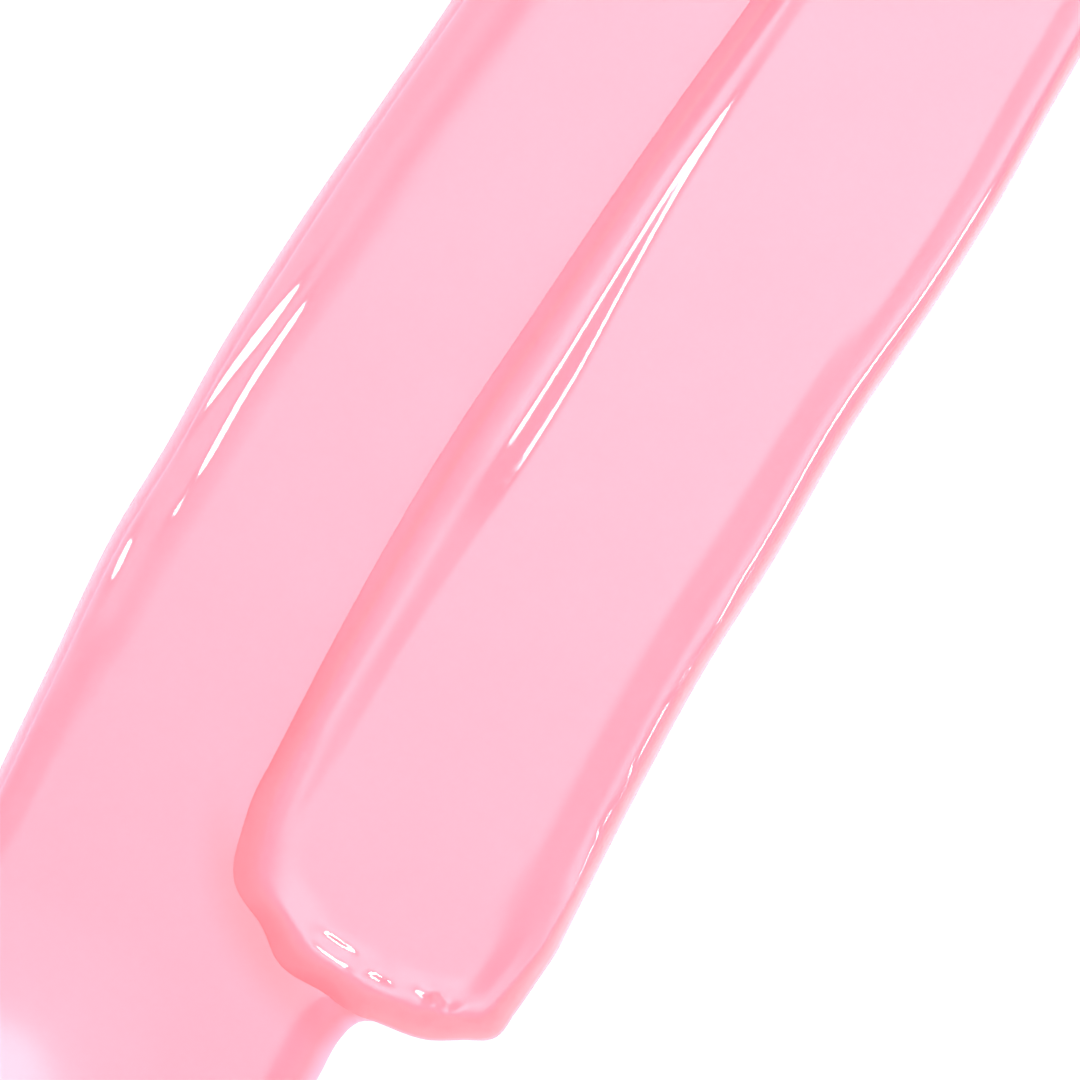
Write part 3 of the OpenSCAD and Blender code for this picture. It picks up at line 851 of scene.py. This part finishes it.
def liquid(name, pale, deep):
    material, shader, nodes, add = build_material(
        name, pale, 0.08, IOR=1.5, Subsurface_Weight=0.5, Subsurface_Scale=0.5 * MM)
    shader.inputs["Subsurface Radius"].default_value = (1.0, 0.45, 0.5)
    vary(shader, nodes, add, pale, deep, 140.0, 2.0)
    grain(shader, nodes, add, 220.0, 0.08, 0.3 * MM)
    return material


def metal(name, colour, dark, rings_along):
    """Turned metal: fine rings along an axis ("Z" up the part) or out from its middle ("RADIAL")."""
    material, shader, nodes, add = build_material(name, colour, 0.2, Metallic=1.0)
    vary(shader, nodes, add, colour, dark, 180.0)
    place = add("ShaderNodeTexCoord").outputs["Object"]
    if rings_along == "Z":
        wave = add("ShaderNodeTexWave", {"Vector": place, "Scale": 5200.0, "Distortion": 0.6},
            bands_direction="Z")
    else:
        wave = add("ShaderNodeTexWave", {"Vector": place, "Scale": 2600.0, "Distortion": 0.5},
            wave_type="RINGS",
                   rings_direction="Z")
    bump(shader, nodes, add, wave.outputs["Fac"], 0.10, 0.02 * MM)
    rough_patches(shader, nodes, add, 0.15, 0.26, 300.0)
    return material


def moulded(name, colour, second, rough, grain_size, grain_strength, **sockets):
    material, shader, nodes, add = build_material(name, colour, rough, **sockets)
    vary(shader, nodes, add, colour, second, 120.0)
    rough_patches(shader, nodes, add, rough * 0.88, rough * 1.12, 250.0)
    place = add("ShaderNodeTexCoord").outputs["Object"]
    noise = add("ShaderNodeTexNoise", {"Vector": place, "Scale": grain_size, "Detail": 1.0}).outputs["Fac"]
    bump(shader, nodes, add, noise, grain_strength, 0.05 * MM)
    return material


def satin(name, colour, second):
    """A smooth satin paint: soft cloudy tone and a sheen that varies a little, without relief."""
    material, shader, nodes, add = build_material(name, colour, 0.32, Coat_Weight=0.2, Coat_Roughness=0.2)
    vary(shader, nodes, add, colour, second, 45.0, 0.0, (1, 1, 1), (0.1, 0.9))
    place = add("ShaderNodeTexCoord").outputs["Object"]
    noise = add("ShaderNodeTexNoise", {"Vector": place, "Scale": 30.0, "Detail": 0.0}).outputs["Fac"]
    rough = add("ShaderNodeMapRange", {"Value": noise, "From Min": 0.1, "From Max": 0.9, "To Min": 0.29,
        "To Max": 0.35})
    nodes.links.new(rough.outputs["Result"], shader.inputs["Roughness"])
    return material


def paper():
    material, shader, nodes, add = build_material("label", (0.93, 0.92, 0.90), 0.5)
    vary(shader, nodes, add, (0.94, 0.93, 0.91), (0.89, 0.88, 0.86), 1800.0, 6.0, (1.0, 4.0, 1.0))
    grain(shader, nodes, add, 5200.0, 0.2, 0.02 * MM)
    return material


def foam():
    material, shader, nodes, add = build_material("gasket", (0.80, 0.80, 0.78), 0.85)
    place = add("ShaderNodeTexCoord").outputs["Object"]
    cells = add("ShaderNodeTexVoronoi", {"Vector": place, "Scale": 3200.0}).outputs["Distance"]
    shade = add("ShaderNodeMix", {"Factor": cells, "A": (0.70, 0.70, 0.68, 1.0),
        "B": (0.86, 0.86, 0.84, 1.0)}, data_type="RGBA")
    nodes.links.new(shade.outputs["Result"], shader.inputs["Base Color"])
    bump(shader, nodes, add, cells, 0.5, 0.08 * MM)
    return material


def give(node, material):
    mesh = nodes_by_name[node].data
    mesh.materials.clear()
    mesh.materials.append(material)


give("bottle", clear_plastic())
give("wiper", moulded("soft_plastic", (0.84, 0.83, 0.81), (0.80, 0.79, 0.77), 0.45, 2600.0, 0.10,
    Subsurface_Weight=0.4, Subsurface_Scale=0.8 * MM))
give("collar", metal("trim_collar", (0.72, 0.46, 0.36), (0.66, 0.41, 0.32), "Z"))
give("cap_top_disc", metal("trim_disc", (0.72, 0.46, 0.36), (0.67, 0.42, 0.33), "RADIAL"))
give("cap_shell", satin("cap_plastic", (0.68, 0.44, 0.46), (0.665, 0.43, 0.45)))
give("cap_liner", moulded("liner_plastic", (0.82, 0.82, 0.81), (0.78, 0.78, 0.77), 0.4, 1800.0, 0.10))
give("cap_weight", metal("steel", (0.60, 0.60, 0.61), (0.52, 0.52, 0.53), "RADIAL"))
give("cap_gasket", foam())
give("wand_stem", moulded("rod_plastic", (0.72, 0.71, 0.70), (0.68, 0.67, 0.66), 0.22, 900.0, 0.06))
give("tip_core", moulded("tip_plastic", (0.83, 0.76, 0.73), (0.80, 0.72, 0.69), 0.4, 1500.0, 0.10))


def lathe(name, profile_points, steps=96, closed=True):
    """A turned shape from [radius, height] points in millimetres, about the tube's axis."""
    count = len(profile_points)
    verts = []
    for i in range(steps):
        turn = 2 * math.pi * i / steps
        verts += [(r * MM * math.cos(turn), r * MM * math.sin(turn), z * MM) for r, z in profile_points]
    faces = []
    for i in range(steps):
        here, there = i * count, ((i + 1) % steps) * count
        for j in range(count if closed else count - 1):
            k = (j + 1) % count
            faces.append((here + j, there + j, there + k, here + k))
    piece = add_mesh(name, verts, faces)
    mesh = bmesh.new()
    mesh.from_mesh(piece.data)
    bmesh.ops.remove_doubles(mesh, verts=mesh.verts, dist=1e-7)
    bmesh.ops.recalc_face_normals(mesh, faces=mesh.faces)
    mesh.to_mesh(piece.data)
    mesh.free()
    piece.data.shade_smooth()
    return piece


def finish_piece(piece, material, slot_name, body, *cad_nodes):
    piece.data.materials.append(material)
    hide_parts(*cad_nodes)
    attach(piece, body)
    return piece


fill_low, fill_high = size_of("gloss_fill")
FILL_R = fill_high.x / MM
FILL_BOTTOM, FILL_TOP = fill_low.z / MM, fill_high.z / MM
stem_low, stem_high = size_of("wand_stem")
STEM_R = stem_high.x / MM
tip_low, tip_high = size_of("tip_flock")
TIP_R = tip_high.y / MM
TUNNEL_R = TIP_R + 0.2
CAVITY_ROUND = 2.2
# The liquid wets the wall with no air between, so its outside is a hair larger than the cavity
WET = 0.02


def make_fill():
    """The liquid: a rounded foot, a thin meniscus up the wall, and the channel round the wand."""
    arc = np.radians(np.linspace(0, 90, 10))
    foot = [[FILL_R + WET - CAVITY_ROUND * (1 - math.sin(a)),
        FILL_BOTTOM - WET + CAVITY_ROUND * (1 - math.cos(a))] for a in arc]
    climb = [[FILL_R + WET, FILL_TOP], [FILL_R - 0.06, FILL_TOP - 0.03]]
    rise = [[FILL_R - d, FILL_TOP - 1.1 * (1 - math.exp(-d / 0.55))] for d in (0.15, 0.3, 0.5, 0.8, 1.2, 1.7,
        2.3, 3.0)]
    channel = [[TUNNEL_R + 0.25, FILL_TOP - 1.05], [TUNNEL_R, FILL_TOP - 0.9],
        [TUNNEL_R, tip_low.z / MM - 0.4]]
    pit = [[0.0005, tip_low.z / MM - 0.4], [0.0005, FILL_BOTTOM - WET]]
    return lathe("liquid_gloss", foot + climb + rise + channel + pit, 128)


finish_piece(make_fill(), liquid("gloss", (0.95, 0.29, 0.36), (0.93, 0.265, 0.335)), "gloss", "bottle_unit",
    "gloss_fill")

label_low, label_high = size_of("shade_label")


def make_label():
    """A round sticker, pressed into its recess, with a softened cut edge."""
    r, low, high = label_high.x / MM, label_low.z / MM, label_high.z / MM + WET
    edge = 0.05
    return lathe("base_sticker", [[0.0005, low], [r - edge, low], [r, low + edge], [r, high - edge],
        [r - edge, high], [0.0005, high]])


finish_piece(make_label(), paper(), "label", "bottle_unit", "shade_label")

film_low, film_high = size_of("stem_film")


def make_film():
    """What clings to the stem: a thin uneven coat that gathers into a bead at its lower end."""
    bottom, top = film_low.z / MM, film_high.z / MM
    inner, outer = STEM_R + 0.03, film_high.x / MM
    steps, rows = 72, 48
    draw = np.random.default_rng(12)
    waves = [(int(draw.integers(1, 5)), draw.uniform(0.4, 1.6), draw.uniform(0, 6.28)) for _ in range(9)]
    verts = []
    for i in range(steps):
        turn = 2 * math.pi * i / steps
        drop = 0.25 * sum(math.sin(n * turn + p) for n, _, p in waves[:4]) / 4
        for j in range(rows + 1):
            up = j / rows
            height = bottom + (top - bottom) * up - drop * up * (1 - up)
            uneven = sum(math.sin(n * turn + k * height + p) for n, k, p in waves) / len(waves)
            thick = (outer - inner) * (0.62 + 0.25 * uneven + 0.35 * math.exp(-(up / 0.08) ** 2))
            thick *= min(1.0, math.sqrt(up / 0.02 + 0.02), math.sqrt((1 - up) / 0.02 + 0.02))
            radius = min(inner + max(thick, 0.01), outer)
            verts.append((radius * math.cos(turn) * MM, radius * math.sin(turn) * MM, height * MM))
        verts.append((inner * math.cos(turn) * MM, inner * math.sin(turn) * MM, top * MM))
        verts.append((inner * math.cos(turn) * MM, inner * math.sin(turn) * MM, bottom * MM))
    ring = rows + 3
    faces = []
    for i in range(steps):
        here, there = i * ring, ((i + 1) % steps) * ring
        faces += [(here + j, there + j, there + (j + 1) % ring, here + (j + 1) % ring) for j in range(ring)]
    return add_mesh("clinging_film", verts, faces)


finish_piece(make_film(), liquid("gloss_film", (0.92, 0.30, 0.37), (0.90, 0.25, 0.32)), "gloss_film",
    "film_unit", "stem_film")


FIBRES = 2600
FIBRE_LENGTH = (0.16, 0.30)
FIBRE_ROOT = 0.22
FIBRE_HALF = 0.035
FIBRE_SPREAD = 0.35
FIBRE_DROOP = Vector((0, 0, -0.25))


def make_flock():
    """Flock on the tip: a slanted bullet under a coat of short fibres that lean at random and droop a little.
    """
    source = nodes_by_name["tip_flock"]
    mesh = bmesh.new()
    mesh.from_mesh(source.data)
    bmesh.ops.remove_doubles(mesh, verts=mesh.verts, dist=1e-7)
    bmesh.ops.triangulate(mesh, faces=mesh.faces)
    mesh.normal_update()
    centre_r = TIP_R * MM
    outside = [f for f in mesh.faces
               if f.calc_center_median().xy.length > 0.55 * centre_r or f.normal.z < -0.3]
    weights = np.array([f.calc_area() for f in outside])
    draw = np.random.default_rng(77)
    chosen = draw.choice(len(outside), size=FIBRES, p=weights / weights.sum())
    verts, faces = [], []
    low, high = Vector(tip_low), Vector(tip_high)
    for index in chosen:
        face = outside[int(index)]
        a, b, c = [v.co for v in face.verts]
        u, v = sorted(draw.uniform(0, 1, 2))
        root = a * u + b * (v - u) + c * (1 - v)
        lean = Vector(draw.normal(0, FIBRE_SPREAD, 3))
        out = (face.normal + lean + FIBRE_DROOP).normalized()
        length = draw.uniform(*FIBRE_LENGTH) * MM
        base = root - face.normal * FIBRE_ROOT * MM
        tip = base + out * length
        tip = Vector([min(max(t, l), h) for t, l, h in zip(tip, low, high)])
        side = out.orthogonal().normalized() * FIBRE_HALF * MM
        other = out.cross(side)
        start = len(verts)
        verts += [base + side, base - side * 0.5 + other * 0.87, base - side * 0.5 - other * 0.87, tip]
        faces += [(start, start + 1, start + 3), (start + 1, start + 2, start + 3),
            (start + 2, start, start + 3), (start + 2, start + 1, start)]
    mesh.free()
    return add_mesh("flock_fibres", verts, faces, smooth=False)


def flock_material():
    material, shader, nodes, add = build_material("flock", (0.90, 0.28, 0.35), 0.55, Sheen_Weight=0.6,
        Sheen_Roughness=0.4)
    vary(shader, nodes, add, (0.92, 0.33, 0.40), (0.84, 0.22, 0.29), 1500.0, 4.0)
    grain(shader, nodes, add, 5000.0, 0.5, 0.05 * MM)
    return material


flock = flock_material()
give("tip_flock", flock)
fibres = make_flock()
fibres.data.materials.append(flock)
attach(fibres, "cap_and_wand")


# Tall strip lamps round the tube, which light only the tube and draw its long highlights
STRIP_TURNS = (20.0, 140.0, 262.0)
STRIP_SIZE = (34.0, 230.0)
STRIP_DISTANCE = 330.0
STRIP_HEIGHT = 95.0
STRIP_RADIANCE = 7.0

tube_receivers = bpy.data.collections.new("tube_receivers")
for node, obj in nodes_by_name.items():
    if not node.startswith("stroke_"):
        tube_receivers.objects.link(obj)
for piece_name in ("liquid_gloss", "base_sticker", "clinging_film", "flock_fibres"):
    tube_receivers.objects.link(bpy.data.objects[piece_name])
for number, turn in enumerate(STRIP_TURNS):
    lamp = bpy.data.lights.new("tube_strip_%d" % number, "AREA")
    lamp.shape = "RECTANGLE"
    lamp.size, lamp.size_y = STRIP_SIZE[0] * MM, STRIP_SIZE[1] * MM
    lamp.energy = STRIP_RADIANCE * math.pi * lamp.size * lamp.size_y
    away = Vector((math.cos(math.radians(turn)), math.sin(math.radians(turn)), 0.0))
    obj = bpy.data.objects.new("tube_strip_%d" % number, lamp)
    across = Vector((-away.y, away.x, 0.0))
    facing = Matrix((across, away.cross(across), away)).transposed()
    obj.matrix_world = Matrix.Translation(away * STRIP_DISTANCE * MM + Vector((0, 0,
        STRIP_HEIGHT * MM))) @ facing.to_4x4()
    obj.visible_camera = False
    obj.light_linking.receiver_collection = tube_receivers
    SCENE.collection.objects.link(obj)
